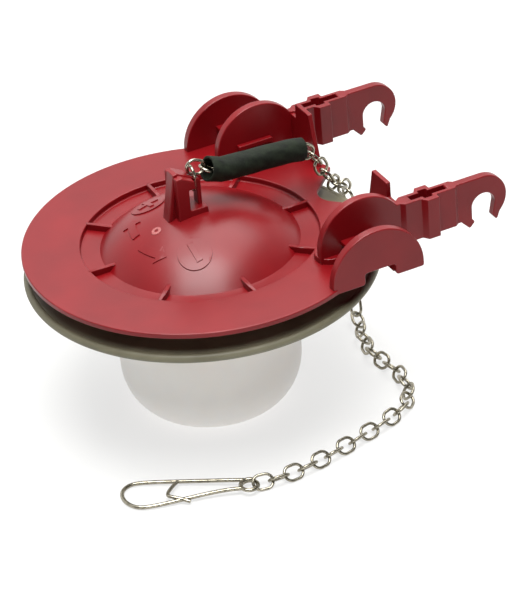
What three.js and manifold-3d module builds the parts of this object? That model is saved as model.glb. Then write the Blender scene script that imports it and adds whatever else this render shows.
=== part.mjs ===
// Toilet flapper for a large flush valve: a one-piece moulded frame with two hinge arms,
// a flexible seal, a float cup that is turned to set the flush, and a lift chain with its
// foam sleeve and wire clip.
// Millimetres, +Z up. The origin is the middle of the cup's underside, and the hooks that
// sit on the valve's pegs point along +Y.
import * as THREE from 'three';
import * as BufferGeometryUtils from 'three/addons/utils/BufferGeometryUtils.js';
import Module from 'manifold-3d';

const wasm = await Module();
wasm.setup();

// What touching pieces keep between their meshes, and how far joined solids run into each other
const gap = 0.3;
const bury = 0.6;

// Driving sizes of the float cup
const cup = {
  radius: 27.3,
  height: 49.2,
  wall: 1.6,
  draft: 0.3,
  cornerWidth: 11,
  cornerHeight: 14.5,
  collarHeight: 7,
};

// Driving sizes of the disc: its flat rim, the sunk ring, the dome and the ribs between them
const plate = { radius: 52, thickness: 1.6, edge: 0.4 };
const recess = { radius: 34.9, depth: 1.9, floor: 1.5 };
const dome = { radius: 29.2, rise: 9.8, wall: 1.6 };
const rib = { count: 8, width: 1.3 };
const spigot = { radius: 24.5, wall: 1.8, reach: 5.5 };
const notch = { inner: 39.4, cornerRadius: 6, spread: 15.7 };

// Driving sizes of the seal, which stands out a little past the disc
const sealOverhang = 0.2;
const seal = {
  radius: plate.radius + sealOverhang,
  thickness: 1.6,
  hubOverlap: 1.4,
  lipRadius: 1.3,
  drop: 8.7,
};

// Heights, stacked up from the cup's underside
const sealBottom = cup.height + gap;
const sealTop = sealBottom + seal.thickness;
const recessUnderside = sealTop + gap;
const recessTop = recessUnderside + recess.floor;
const plateTop = recessTop + recess.depth;
const plateBottom = plateTop - plate.thickness;
const domeHeight = dome.rise + recess.depth;
const domeSphere = (dome.radius ** 2 + domeHeight ** 2) / (2 * domeHeight);
const domeCentre = plateTop + dome.rise - domeSphere;

// Driving sizes of the two hinge arms: the places along Y, and heights over the plate's top
const arm = {
  offset: 32.7,
  top: 11.5,
  sheet: 2.6,
  guardY: 36,
  guardZ: 3.6,
  guardRadius: 13.5,
  neckStart: 48.1,
  neckHalf: 2.35,
  boxStart: 54.4,
  boxHalf: 4.15,
  boxEnd: 59.4,
  tailHalf: 2.2,
  tailEnd: 65.6,
  ramp: 1.2,
  slotStart: 50,
  slotEnd: 64.3,
  slotHalf: 1.1,
  slotWideHalf: 2.3,
  slotInset: 1.1,
};
const hook = {
  y: 75.35,
  mouthZ: 2.0,
  mouthRadius: 3.85,
  outerRadius: 7.7,
  barb: 0.9,
  lipZ: -2.7,
  tipZ: -4.5,
  spurY: 70.6,
  notchY: 67.4,
  notchZ: 0.5,
};
const fender = {
  offset: 46.8,
  sheet: 2.6,
  y: 33,
  z: 0.2,
  radius: 14.4,
  archStart: 27.9,
  archEnd: 38.4,
  archTop: 2.1,
};
const brace = { sheet: 1.5, start: 28.4, floor: 4.4, ledgeEnd: 39.7, ledgeWidth: 1.5 };
const fin = { y: 47.2, sheet: 1.4, top: 14.6, edgeTop: 18.6, edgeFoot: 14 };
const tongue = { x: 31.2, y: 26.2, radius: 4.6, height: 1.8 };

// Driving sizes of the chain post on the dome, heights over the plate's top
const post = {
  front: -10.6,
  frontTop: -7.4,
  flange: 1.4,
  flangeHalf: 2,
  top: 23.4,
  half: 1.35,
  armEnd: 1.2,
  armTopEnd: 19.3,
  windowStart: -3.6,
  windowFoot: 11.4,
  windowTop: 18,
  rearWall: 1.3,
  footHalf: 4,
  footStart: -7.4,
  footEnd: 2.4,
  columnTop: 22.4,
  columnDrop: 1.6,
};

// Driving sizes of the chain, its end ring, the foam sleeve and the wire clip
const link = { length: 6.8, width: 5.2, wire: 0.9 };
const ring = { length: 8.4, width: 5.6, wire: 0.9, y: -0.9 };
const sleeve = { outer: 3.7, bore: 3, start: 4.2, end: 36.2 };
const clip = { wire: 1.2, eye: 6.2 };
const pitch = link.length - 2 * link.wire - gap;
const hinge = link.wire / 2 + gap / 2;

// Facet counts
const turnSteps = 44;
const cupSteps = 36;
const linkSteps = 10;
const linkSides = 5;

// Finishes
const finish = {
  frame: new THREE.MeshStandardMaterial({ color: 0xb0323a, roughness: 0.45, metalness: 0 }),
  seal: new THREE.MeshStandardMaterial({ color: 0x8d8d78, roughness: 0.7, metalness: 0 }),
  cup: new THREE.MeshStandardMaterial({ color: 0xd6cfc6, roughness: 0.5, metalness: 0 }),
  foam: new THREE.MeshStandardMaterial({ color: 0x1d211d, roughness: 0.95, metalness: 0 }),
  wire: new THREE.MeshStandardMaterial({ color: 0xa9a79c, roughness: 0.3, metalness: 1 }),
};

// Solids and meshes
function toSolid(geometry) {
  const bare = geometry.clone();
  bare.deleteAttribute('normal');
  bare.deleteAttribute('uv');
  const merged = BufferGeometryUtils.mergeVertices(bare, 1e-5);
  const mesh = new wasm.Mesh({
    numProp: 3,
    vertProperties: Float32Array.from(merged.attributes.position.array),
    triVerts: Uint32Array.from(merged.index.array),
  });
  return new wasm.Manifold(mesh);
}

function joined(solids) {
  return wasm.Manifold.union(solids);
}

function toMesh(name, solid, material) {
  const mesh = solid.getMesh();
  const geometry = new THREE.BufferGeometry();
  geometry.setAttribute('position', new THREE.BufferAttribute(mesh.vertProperties.slice(), 3));
  geometry.setIndex(new THREE.BufferAttribute(mesh.triVerts.slice(), 1));
  geometry.computeVertexNormals();
  const part = new THREE.Mesh(geometry, material);
  part.name = name;
  return part;
}

function box(xMin, xMax, yMin, yMax, zMin, zMax) {
  const geometry = new THREE.BoxGeometry(xMax - xMin, yMax - yMin, zMax - zMin);
  geometry.translate((xMin + xMax) / 2, (yMin + yMax) / 2, (zMin + zMax) / 2);
  return toSolid(geometry);
}

// A profile of radius and height turned round Z
function turned(profile, steps = turnSteps) {
  const points = profile.map(([radius, height]) => new THREE.Vector2(radius, height));
  const geometry = new THREE.LatheGeometry(points, steps);
  geometry.rotateX(Math.PI / 2);
  return toSolid(geometry);
}

// An outline in Y and Z, run along X
function alongX(shape, xMin, xMax, curveSegments = 10) {
  const geometry = new THREE.ExtrudeGeometry(shape, {
    depth: xMax - xMin,
    bevelEnabled: false,
    curveSegments,
  });
  const cycle = new THREE.Matrix4().makeBasis(
    new THREE.Vector3(0, 1, 0),
    new THREE.Vector3(0, 0, 1),
    new THREE.Vector3(1, 0, 0),
  );
  geometry.applyMatrix4(cycle);
  geometry.translate(xMin, 0, 0);
  return toSolid(geometry);
}

// An outline in X and Y, run along Z
function alongZ(shape, zMin, zMax, curveSegments = 10) {
  const geometry = new THREE.ExtrudeGeometry(shape, {
    depth: zMax - zMin,
    bevelEnabled: false,
    curveSegments,
  });
  geometry.translate(0, 0, zMin);
  return toSolid(geometry);
}

// An outline in X and Z, run along Y
function alongY(shape, yMin, yMax) {
  const geometry = new THREE.ExtrudeGeometry(shape, { depth: yMax - yMin, bevelEnabled: false });
  geometry.rotateX(Math.PI / 2);
  geometry.translate(0, yMax, 0);
  return toSolid(geometry);
}

function outline(points) {
  return new THREE.Shape(points.map(([a, b]) => new THREE.Vector2(a, b)));
}

// Points of an arc, from one angle in degrees to another
function arc(a, b, radius, from, to, steps) {
  const points = [];
  for (let i = 0; i <= steps; i += 1) {
    const angle = THREE.MathUtils.degToRad(from + ((to - from) * i) / steps);
    points.push([a + radius * Math.cos(angle), b + radius * Math.sin(angle)]);
  }
  return points;
}

function domeRadiusAt(height, sphere = domeSphere) {
  return Math.sqrt(Math.max(sphere ** 2 - (height - domeCentre) ** 2, 0));
}

function domeHeightAt(radius, sphere = domeSphere) {
  return domeCentre + Math.sqrt(Math.max(sphere ** 2 - radius ** 2, 0));
}

// Disc: rim, sunk ring, domed shell and the spigot that carries the cup, in one turned profile
function discBody() {
  const inner = domeSphere - dome.wall;
  const spigotInner = spigot.radius - spigot.wall;
  const domeSteps = 6;
  const profile = [];
  for (let i = 0; i <= domeSteps; i += 1) {
    const radius = (dome.radius * i) / domeSteps;
    profile.push([radius, domeHeightAt(radius)]);
  }
  profile.push([recess.radius, recessTop]);
  profile.push([recess.radius, plateTop]);
  profile.push([plate.radius - plate.edge, plateTop]);
  profile.push([plate.radius, plateTop - plate.edge]);
  profile.push([plate.radius, plateBottom]);
  profile.push([recess.radius + recess.floor, plateBottom]);
  profile.push([recess.radius + recess.floor, recessUnderside]);
  profile.push([spigot.radius, recessUnderside]);
  profile.push([spigot.radius, sealBottom - spigot.reach]);
  profile.push([spigotInner, sealBottom - spigot.reach]);
  const shellSteps = 4;
  for (let i = 0; i <= shellSteps; i += 1) {
    const radius = spigotInner * (1 - i / shellSteps);
    profile.push([radius, domeHeightAt(radius, inner)]);
  }
  return turned(profile.reverse());
}

// The rim runs on straight to the outer guards of the arms
function sideWings() {
  const reach = fender.offset + fender.sheet / 2;
  const start = recess.radius + recess.floor;
  return [1, -1].map((side) => {
    const near = Math.min(side * start, side * reach);
    const far = Math.max(side * start, side * reach);
    return box(near, far, 0, fender.archStart, plateBottom, plateTop);
  });
}

// The notch in the rear rim that lets the chain drop past the seal
function rearNotch() {
  const corner = notch.cornerRadius;
  const centre = notch.inner + corner;
  const rear = plate.radius + bury;
  const points = arc(0, centre, corner, 225, 315, 6);
  points.push([notch.spread, rear]);
  points.push([-notch.spread, rear]);
  return alongZ(outline(points), plateBottom - bury, plateTop + bury);
}

// Gussets between the sunk ring's wall and the dome
function ribs() {
  const inner = domeRadiusAt(plateTop) - bury;
  const solids = [];
  for (let i = 0; i < rib.count; i += 1) {
    const bar = box(
      inner,
      recess.radius + bury,
      -rib.width / 2,
      rib.width / 2,
      recessTop - bury,
      plateTop,
    );
    solids.push(bar.rotate([0, 0, (360 * i) / rib.count]));
  }
  return solids;
}

// Side view of an arm: round guard, straight beam, spur and the open hook
function armSide() {
  const z = (height) => plateTop + height;
  const mouth = hook.mouthRadius;
  const guardEnd = Math.asin((arm.top - arm.guardZ) / arm.guardRadius);
  const guardEndAngle = THREE.MathUtils.radToDeg(guardEnd);
  const hookTop = arm.top - hook.outerRadius;
  const points = [[arm.guardY - arm.guardRadius, plateBottom]];
  points.push(...arc(arm.guardY, z(arm.guardZ), arm.guardRadius, 180, guardEndAngle, 11));
  points.push(...arc(hook.y, z(hookTop), hook.outerRadius, 90, -45, 11));
  points.push([hook.y + mouth + hook.barb / 2, z(hook.tipZ)]);
  points.push([hook.y + mouth - hook.barb, z(hook.lipZ)]);
  points.push(...arc(hook.y, z(hook.mouthZ), mouth, 0, 180, 10));
  points.push([hook.y - mouth, z(hook.mouthZ + hook.lipZ) - hook.barb]);
  points.push([hook.y - mouth + hook.barb, z(hook.lipZ)]);
  points.push([hook.spurY, z(hook.tipZ)]);
  points.push([hook.notchY, plateBottom + hook.notchZ]);
  points.push([hook.notchY - 2 * arm.ramp, plateBottom]);
  return outline(points.reverse());
}

// Plan view of an arm: thin guard, then a neck, a wide box and a tail that step back to the hook
function armPlan() {
  const sheetHalf = arm.sheet / 2;
  const half = [
    [sheetHalf, 0],
    [sheetHalf, arm.neckStart],
    [arm.neckHalf, arm.neckStart + arm.ramp],
    [arm.neckHalf, arm.boxStart],
    [arm.boxHalf, arm.boxStart + arm.ramp],
    [arm.boxHalf, arm.boxEnd],
    [arm.tailHalf, arm.boxEnd],
    [arm.tailHalf, arm.tailEnd],
    [sheetHalf, arm.tailEnd + arm.ramp],
    [sheetHalf, hook.y + 2 * hook.outerRadius],
  ];
  const mirrored = half.map(([x, y]) => [-x, y]).reverse();
  return outline([...half, ...mirrored]);
}

// The slot through a beam, wider inside its box
function armSlot() {
  const wideStart = arm.boxStart + arm.slotInset;
  const wideEnd = arm.boxEnd - arm.slotInset;
  const half = [
    [arm.slotHalf, arm.slotStart],
    [arm.slotHalf, wideStart],
    [arm.slotWideHalf, wideStart],
    [arm.slotWideHalf, wideEnd],
    [arm.slotHalf, wideEnd],
    [arm.slotHalf, arm.slotEnd],
  ];
  const mirrored = half.map(([x, y]) => [-x, y]).reverse();
  return outline([...half, ...mirrored]);
}

function armBeam() {
  const low = plateTop + hook.tipZ - bury;
  const high = plateTop + arm.guardZ + arm.guardRadius + bury;
  const side = alongX(armSide(), -arm.boxHalf - bury, arm.boxHalf + bury);
  const plan = alongZ(armPlan(), low, high);
  const slot = alongZ(armSlot(), low, high);
  return side.intersect(plan).subtract(slot);
}

// The round outer guard, arched over the seal behind its foot
function fenderSide() {
  const z = (height) => plateTop + height;
  const front = fender.y - fender.radius;
  const points = [[front, plateBottom]];
  points.push(...arc(fender.y, z(fender.z), fender.radius, 180, 0, 14));
  points.push([fender.y + fender.radius, plateBottom]);
  points.push([fender.archEnd, plateBottom]);
  points.push([fender.archEnd, z(fender.archTop)]);
  points.push([fender.archStart, z(fender.archTop)]);
  points.push(...arc(fender.archStart - 1.5, plateBottom + 1.5, 1.5, 0, -90, 3));
  return outline(points.reverse());
}

// One arm with its guards, braces and fin, on the +X side of the disc
function armAssembly() {
  const z = (height) => plateTop + height;
  const sheetHalf = arm.sheet / 2;
  const innerFace = arm.offset + sheetHalf;
  const outerFace = fender.offset - fender.sheet / 2;
  const guard = alongX(fenderSide(), outerFace, outerFace + fender.sheet);
  const wallEnd = fender.archEnd + brace.sheet;
  const floorTop = brace.floor + brace.sheet;
  const floor = box(
    innerFace - bury,
    outerFace + bury,
    brace.start,
    wallEnd,
    z(brace.floor),
    z(floorTop),
  );
  const wall = box(
    innerFace - bury,
    outerFace + bury,
    fender.archEnd,
    wallEnd,
    plateBottom,
    z(floorTop),
  );
  const ledgeFace = arm.offset - sheetHalf;
  const ledge = box(
    ledgeFace - brace.ledgeWidth,
    ledgeFace + bury,
    brace.start,
    brace.ledgeEnd,
    z(brace.floor),
    z(floorTop),
  );
  const finShape = outline([
    [fin.edgeFoot, plateBottom],
    [arm.offset, plateBottom],
    [arm.offset, z(arm.top) - bury],
    [ledgeFace, z(arm.top) - bury],
    [ledgeFace, z(fin.top)],
    [fin.edgeTop, z(fin.top)],
  ]);
  const finPlate = alongY(finShape, fin.y, fin.y + fin.sheet);
  const pad = new THREE.CylinderGeometry(tongue.radius, tongue.radius, tongue.height + bury, 16);
  pad.rotateX(Math.PI / 2);
  pad.translate(tongue.x, tongue.y, z(tongue.height) - (tongue.height + bury) / 2);
  const beam = armBeam().translate([arm.offset, 0, 0]);
  return joined([beam, guard, floor, wall, ledge, finPlate, toSolid(pad)]);
}

// The chain post: a leaning front flange, a web with a window under its top arm, a wide foot and
// a column that stands on it in front of the window
function chainPost() {
  const z = (height) => plateTop + height;
  const foot = domeHeightAt(Math.abs(post.front)) - dome.wall;
  const web = outline([
    [post.front, foot],
    [post.armEnd + post.rearWall, foot],
    [post.armEnd, z(post.windowFoot)],
    [post.armEnd, z(post.armTopEnd)],
    [post.frontTop + post.flange, z(post.top)],
    [post.frontTop, z(post.top)],
  ]);
  const windowEnd = post.armEnd - post.rearWall;
  web.holes.push(
    outline([
      [post.windowStart, z(post.windowFoot)],
      [post.windowStart, z(post.windowTop)],
      [windowEnd, z(post.windowTop)],
      [windowEnd, z(post.windowFoot)],
    ]),
  );
  const flange = outline([
    [post.front, foot],
    [post.front + post.flange, foot],
    [post.frontTop + post.flange, z(post.top)],
    [post.frontTop, z(post.top)],
  ]);
  const column = outline([
    [post.footStart, foot],
    [post.footEnd, domeHeightAt(post.footHalf + post.footEnd) - dome.wall],
    [post.footEnd - bury, z(post.windowFoot)],
    [post.windowStart, z(post.windowFoot)],
    [post.windowStart, z(post.columnTop - post.columnDrop)],
    [post.frontTop + post.flange, z(post.columnTop)],
    [post.footStart, z(post.columnTop - post.columnDrop)],
  ]);
  return joined([
    alongX(web, -post.half, post.half),
    alongX(flange, -post.flangeHalf, post.flangeHalf),
    alongX(column, -post.footHalf, post.footHalf),
  ]);
}

function frameSolid() {
  const disc = joined([discBody(), ...sideWings()]).subtract(rearNotch());
  const side = armAssembly();
  return joined([disc, ...ribs(), side, side.mirror([1, 0, 0]), chainPost()]);
}

// Seal: a flat hub clamped over the cup, a web that falls outwards, and a rounded lip
function sealSolid() {
  const hub = recess.radius + seal.hubOverlap;
  const lipCentre = seal.radius - seal.lipRadius;
  const lipHeight = plateTop - seal.drop;
  const profile = [[spigot.radius + gap, sealTop], [hub, sealTop]];
  profile.push(...arc(lipCentre, lipHeight, seal.lipRadius, 120, -120, 7));
  profile.push([hub, sealBottom]);
  profile.push([spigot.radius + gap, sealBottom]);
  profile.push([spigot.radius + gap, sealTop]);
  return turned(profile.reverse());
}

// Float cup: closed bottom with a rounded corner, and a collar that turns on the spigot
function cupSolid() {
  const foot = cup.radius - cup.draft;
  const outside = [[0, 0]];
  const inside = [];
  const cornerSteps = 6;
  for (let i = 0; i <= cornerSteps; i += 1) {
    const angle = ((i / cornerSteps) * Math.PI) / 2;
    const across = Math.sin(angle);
    const up = 1 - Math.cos(angle);
    outside.push([foot - cup.cornerWidth * (1 - across), cup.cornerHeight * up]);
    inside.push([
      foot - cup.wall - (cup.cornerWidth - cup.wall) * (1 - across),
      cup.wall + (cup.cornerHeight - cup.wall) * up,
    ]);
  }
  outside.push([cup.radius, cup.height]);
  const collar = spigot.radius + gap;
  outside.push([collar, cup.height]);
  outside.push([collar, cup.height - cup.collarHeight]);
  outside.push([cup.radius - cup.wall, cup.height - cup.collarHeight - cup.wall]);
  inside.reverse();
  return turned([...outside, ...inside, [0, cup.wall]], cupSteps);
}

// The chain's route, chosen by hand: from the post, through the sleeve, down the notch behind
// the seal and forward along the surface that the cup stands on. Heights are over the plate's
// top down to the seal, and over that surface from there on.
const floorRun = ((link.width - link.wire) / 2) * Math.SQRT1_2 + link.wire / 2 + 0.1;
const routeOverPlate = [
  [0, 2.6, 21.9],
  [-0.2, 6.8, 19.6],
  [-1.3, 16, 18.2],
  [-2.2, 26, 17.2],
  [-3, 36.2, 15.6],
  [-3.8, 39.5, 12.6],
  [-4.7, 42, 8.6],
  [-5.5, 44.3, 4],
  [-6.2, 46.9, -0.4],
  [-8.2, 49.4, -3.3],
  [-10.6, 52.2, -4.9],
  [-12, 54.5, -8.7],
  [-12.3, 55.3, -13.5],
];
const routeOverFloor = [
  [-12.4, 55.3, 30],
  [-12.5, 55.2, 19],
  [-12.3, 55, 10],
  [-10.2, 54.1, 4],
  [-5.8, 52.5, floorRun],
  [0.5, 50.3, floorRun],
  [6.5, 48.7, floorRun],
  [12, 48.2, floorRun],
  [17.5, 48.9, floorRun],
  [22.5, 49.7, floorRun],
  [28, 49.1, floorRun],
  [33.2, 47.9, floorRun],
  [37.8, 45.4, floorRun],
  [41, 41.4, floorRun],
  [43.2, 36.8, floorRun],
  [45.2, 31, floorRun],
  [46.8, 25, floorRun],
  [48.6, 18.8, floorRun],
  [50, 12.6, floorRun],
  [51.3, 6.6, floorRun],
  [52, 0.6, floorRun],
  [52.2, -4.6, floorRun],
  [51.6, -8.8, floorRun],
  [50.7, -13.4, floorRun],
];
const twistStart = 5;
const twistEnd = 30;

// The ring stands round the post's top arm, and the first link hangs in the ring
const armSlope = (post.top - post.armTopEnd) / (post.armEnd - post.frontTop - post.flange);
const armTopAtRing = post.armTopEnd + armSlope * (post.armEnd - ring.y);
const ringTopWire = armTopAtRing + link.width / 2 + gap;
const firstSlope = THREE.MathUtils.degToRad(23);

function chainRoute() {
  const start = new THREE.Vector3(
    0,
    ring.y - hinge * Math.cos(firstSlope),
    plateTop + ringTopWire + hinge * Math.sin(firstSlope),
  );
  const points = [start];
  for (const [x, y, height] of routeOverPlate) {
    points.push(new THREE.Vector3(x, y, plateTop + height));
  }
  for (const [x, y, height] of routeOverFloor) {
    points.push(new THREE.Vector3(x, y, height));
  }
  return new THREE.CatmullRomCurve3(points, false, 'centripetal');
}

// Walks the route in equal straight steps, so that each link gets its two ends
function chainKnots(samples) {
  const knots = [samples[0]];
  for (const point of samples) {
    if (point.distanceTo(knots[knots.length - 1]) >= pitch) {
      knots.push(point);
    }
  }
  return knots;
}

// Sideways directions of the links, carried along the route without twist
function chainFrames(knots) {
  const frames = [];
  let side = new THREE.Vector3(0, 0, 1);
  for (let i = 0; i + 1 < knots.length; i += 1) {
    const along = knots[i + 1].clone().sub(knots[i]).normalize();
    side = side.clone().addScaledVector(along, -side.dot(along)).normalize();
    frames.push({ from: knots[i], to: knots[i + 1], along, side });
  }
  return frames;
}

// The turn, under an eighth, that leaves the links on the ground leaning at 45 degrees
function chainTwist(frame) {
  const up = new THREE.Vector3(0, 0, 1).applyAxisAngle(frame.along, Math.PI / 4);
  const across = new THREE.Vector3().crossVectors(frame.along, frame.side);
  const angle = Math.atan2(up.dot(across), up.dot(frame.side));
  const quarter = Math.PI / 2;
  return angle - quarter * Math.round(angle / quarter);
}

// A closed oval of round wire, long along X and lying in the XY plane: a torus whose two
// halves are moved apart. The steps aren't a multiple of four, so that none lies between them.
function ovalLoop(length, width, wire, steps, sides) {
  const straight = (length - width) / 2;
  const bend = (width - wire) / 2;
  const geometry = new THREE.TorusGeometry(bend, wire / 2, sides, steps);
  const position = geometry.attributes.position;
  for (let i = 0; i < position.count; i += 1) {
    const x = position.getX(i);
    position.setX(i, x + straight * Math.sign(x));
  }
  return geometry;
}

function chainLinks(frames) {
  const twist = chainTwist(frames[frames.length - 1]);
  const shape = toSolid(ovalLoop(link.length, link.width, link.wire, linkSteps, linkSides));
  return frames.map((frame, index) => {
    const part = toMesh(`chain_link_${String(index + 1).padStart(2, '0')}`, shape, finish.wire);
    const share = THREE.MathUtils.clamp((index - twistStart) / (twistEnd - twistStart), 0, 1);
    const roll = twist * share + (index % 2) * (Math.PI / 2);
    const side = frame.side.clone().applyAxisAngle(frame.along, roll);
    const normal = new THREE.Vector3().crossVectors(frame.along, side);
    part.quaternion.setFromRotationMatrix(
      new THREE.Matrix4().makeBasis(frame.along, side, normal),
    );
    part.position.copy(frame.from).add(frame.to).multiplyScalar(0.5);
    return part;
  });
}

// A round bar or a tube along a curve
function swept(curve, radius, bore, steps, sides) {
  const circle = (size) => {
    const points = [];
    for (let i = 0; i < sides; i += 1) {
      const angle = (2 * Math.PI * i) / sides;
      points.push(new THREE.Vector2(size * Math.cos(angle), size * Math.sin(angle)));
    }
    return points;
  };
  const section = new THREE.Shape(circle(radius));
  if (bore > 0) {
    section.holes.push(new THREE.Path(circle(bore)));
  }
  const geometry = new THREE.ExtrudeGeometry(section, {
    steps,
    bevelEnabled: false,
    extrudePath: curve,
  });
  return toSolid(geometry);
}

// The foam sleeve lies round the chain between two places along Y
function foamSleeve(samples) {
  const inside = samples.filter(
    (point) => point.y > sleeve.start && point.y < sleeve.end && point.z > plateTop,
  );
  const stations = 6;
  const points = [];
  for (let i = 0; i <= stations; i += 1) {
    points.push(inside[Math.round((i / stations) * (inside.length - 1))]);
  }
  const curve = new THREE.CatmullRomCurve3(points, false, 'centripetal');
  return swept(curve, sleeve.outer, sleeve.bore, 7, 14);
}

// The wire clip: an eye in the last link, a long bent loop and a keeper that hooks across it
function wireClip(frame) {
  const reach = clip.eye / 2 - clip.wire / 2;
  const inset = clip.wire / 2 + gap - (hinge - link.wire / 2);
  const eye = frame.to.clone().addScaledVector(frame.along, reach - inset);
  const loop = new THREE.TorusGeometry(reach, clip.wire / 2, 6, 16);
  loop.translate(eye.x, eye.y, eye.z);
  const lying = clip.wire / 2 + 0.1;
  const at = ([x, y, rise]) => new THREE.Vector3(eye.x + x, eye.y + y, lying + rise);
  const lift = eye.z - lying;
  const wires = [
    [
      [-1.7, 1.6, lift],
      [-3.4, -0.6, lift * 0.9],
      [-11.5, -12.8, lift * 0.5],
      [-19.4, -24.6, 0.1],
      [-20.4, -28.2, 0],
      [-18.6, -31.6, 0],
      [-14.4, -32.9, 0],
      [-9.6, -31.6, 0],
      [-7.4, -28.4, 0.1],
      [-4.6, -16, lift * 0.45],
      [-1.9, -5.4, lift * 0.9],
      [-0.9, -2.1, lift],
    ],
    [
      [-13.6, -16.2, lift * 0.5],
      [-11.9, -18.2, lift * 0.8],
      [-8.6, -21.3, lift * 0.8],
      [-5.9, -19.8, lift * 0.9],
      [-3.4, -17.3, lift * 0.4],
    ],
  ];
  const solids = wires.map((points, index) => {
    const curve = new THREE.CatmullRomCurve3(points.map(at), false, 'centripetal');
    return swept(curve, clip.wire / 2, 0, index === 0 ? 27 : 7, 6);
  });
  return joined([toSolid(loop), ...solids]);
}

function endRing() {
  const geometry = ovalLoop(ring.length, ring.width, ring.wire, 10, 6);
  geometry.rotateY(-Math.PI / 2);
  geometry.rotateZ(Math.PI / 2);
  const middle = ringTopWire - (ring.length - ring.wire) / 2;
  geometry.translate(0, ring.y, plateTop + middle);
  return toSolid(geometry);
}

const samples = chainRoute().getPoints(1600);
const frames = chainFrames(chainKnots(samples));

const flapper = new THREE.Group();
flapper.add(toMesh('flapper_frame', frameSolid(), finish.frame));
flapper.add(toMesh('seal_disc', sealSolid(), finish.seal));
flapper.add(toMesh('float_cup', cupSolid(), finish.cup));

const chain = new THREE.Group();
chain.add(toMesh('chain_end_ring', endRing(), finish.wire));
chainLinks(frames).forEach((part) => chain.add(part));
chain.add(toMesh('chain_sleeve', foamSleeve(samples), finish.foam));
chain.add(toMesh('chain_clip', wireClip(frames[frames.length - 1]), finish.wire));
flapper.add(chain);

export default flapper;
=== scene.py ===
# Looks of the toilet flapper: a red moulded frame, a rubber seal, a frosted float cup, a nickel
# chain with a foam sleeve and a wire clip, on a plain pale floor.
import math

import bmesh
import bpy
import numpy as np
from mathutils import Matrix, Vector


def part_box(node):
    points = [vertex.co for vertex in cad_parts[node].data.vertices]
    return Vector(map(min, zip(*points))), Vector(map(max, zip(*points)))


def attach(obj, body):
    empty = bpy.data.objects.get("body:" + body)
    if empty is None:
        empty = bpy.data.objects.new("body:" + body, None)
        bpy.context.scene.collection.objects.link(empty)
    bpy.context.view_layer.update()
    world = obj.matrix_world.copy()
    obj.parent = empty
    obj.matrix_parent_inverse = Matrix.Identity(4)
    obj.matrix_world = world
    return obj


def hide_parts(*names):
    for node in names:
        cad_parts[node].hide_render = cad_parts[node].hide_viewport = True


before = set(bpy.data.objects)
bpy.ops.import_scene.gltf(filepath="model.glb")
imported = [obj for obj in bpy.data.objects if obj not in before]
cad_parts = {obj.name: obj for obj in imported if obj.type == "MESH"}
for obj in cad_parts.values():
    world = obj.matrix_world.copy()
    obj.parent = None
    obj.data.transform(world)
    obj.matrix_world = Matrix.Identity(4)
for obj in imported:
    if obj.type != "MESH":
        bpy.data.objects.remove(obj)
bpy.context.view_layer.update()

MM = 0.001

# Sizes in millimetres, as the part's source has them, and heights stacked up from the cup's foot
CUP_HEIGHT = 49.2
CUP_RADIUS = 27.3
CUP_DRAFT = 0.3
CUP_FOOT_RADIUS = CUP_RADIUS - CUP_DRAFT
CUP_WALL = 1.6
CUP_CORNER = (11.0, 14.5)
CUP_COLLAR = 7.0
GAP = 0.3
SEAL_SHEET = 1.6
SEAL_OVERHANG = 0.2
SEAL_DROP = 8.7
SEAL_BOTTOM = CUP_HEIGHT + GAP
SEAL_TOP = SEAL_BOTTOM + SEAL_SHEET
RECESS_WALL = 1.5
RECESS_DEPTH = 1.9
RECESS_RADIUS = 34.9
RECESS_BOTTOM = SEAL_TOP + GAP
RECESS_TOP = RECESS_BOTTOM + RECESS_WALL
PLATE_THICK = 1.6
PLATE_RADIUS = 52.0
PLATE_TOP = RECESS_TOP + RECESS_DEPTH
PLATE_BOTTOM = PLATE_TOP - PLATE_THICK
DOME_RADIUS = 29.2
DOME_RISE = 9.8
DOME_WALL = 1.6
SPIGOT_RADIUS = 24.5
SPIGOT_WALL = 1.8
SPIGOT_REACH = 5.5
DOME_HEIGHT = DOME_RISE + RECESS_DEPTH
DOME_SPHERE = (DOME_RADIUS**2 + DOME_HEIGHT**2) / (2 * DOME_HEIGHT)
DOME_CENTRE = PLATE_TOP + DOME_RISE - DOME_SPHERE
ARM_X = 32.7
ARM_SHEET = 2.6
ARM_TOP = 11.5
FENDER_X = 46.8
FENDER_SHEET = 2.6

# Radius below which a profile's point lies on the axis, and distance at which corners merge
ON_AXIS = 1e-6
MERGE = 0.002

# Rounded edges: their radius on most pieces and on thin ones, and their faces
EDGE = 0.35
THIN_EDGE = 0.25
EDGE_STEPS = 3

# Brightness of the surroundings: as they light the part, and as it mirrors them at its back
# and front
AMBIENT_GLOW = 0.015
BACKDROP_GLOW = 1.2
ROOM_GLOW = 0.15

# Camera, found from the photo's disc, cup and arms: its azimuth, elevation and roll in degrees,
# its sensor and lens, and its place in X, Y and height over the plate's top
CAMERA_ANGLES = (65.48, 32.56, 4.85)
CAMERA_SENSOR = 36.0
CAMERA_LENS = 179.94
CAMERA_PLACE = (682.6, -294.0, 450.6)


def photo_camera():
    azimuth, elevation, roll = (math.radians(angle) for angle in CAMERA_ANGLES)
    ahead = Vector(
        (
            -math.sin(azimuth) * math.cos(elevation),
            math.cos(azimuth) * math.cos(elevation),
            -math.sin(elevation),
        )
    )
    level = ahead.cross(Vector((0, 0, 1))).normalized()
    right = level * math.cos(roll) + ahead.cross(level) * math.sin(roll)
    up = right.cross(ahead)
    data = bpy.data.cameras.new("photo_camera")
    data.sensor_width = CAMERA_SENSOR
    data.lens = CAMERA_LENS
    data.clip_start = 0.01
    camera = bpy.data.objects.new("photo_camera", data)
    turn = Matrix((right, up, -ahead)).transposed()
    x, y, height = CAMERA_PLACE
    place = Vector((x, y, z(height))) * MM
    camera.matrix_world = Matrix.Translation(place) @ turn.to_4x4()
    bpy.context.scene.collection.objects.link(camera)
    bpy.context.scene.camera = camera


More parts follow.
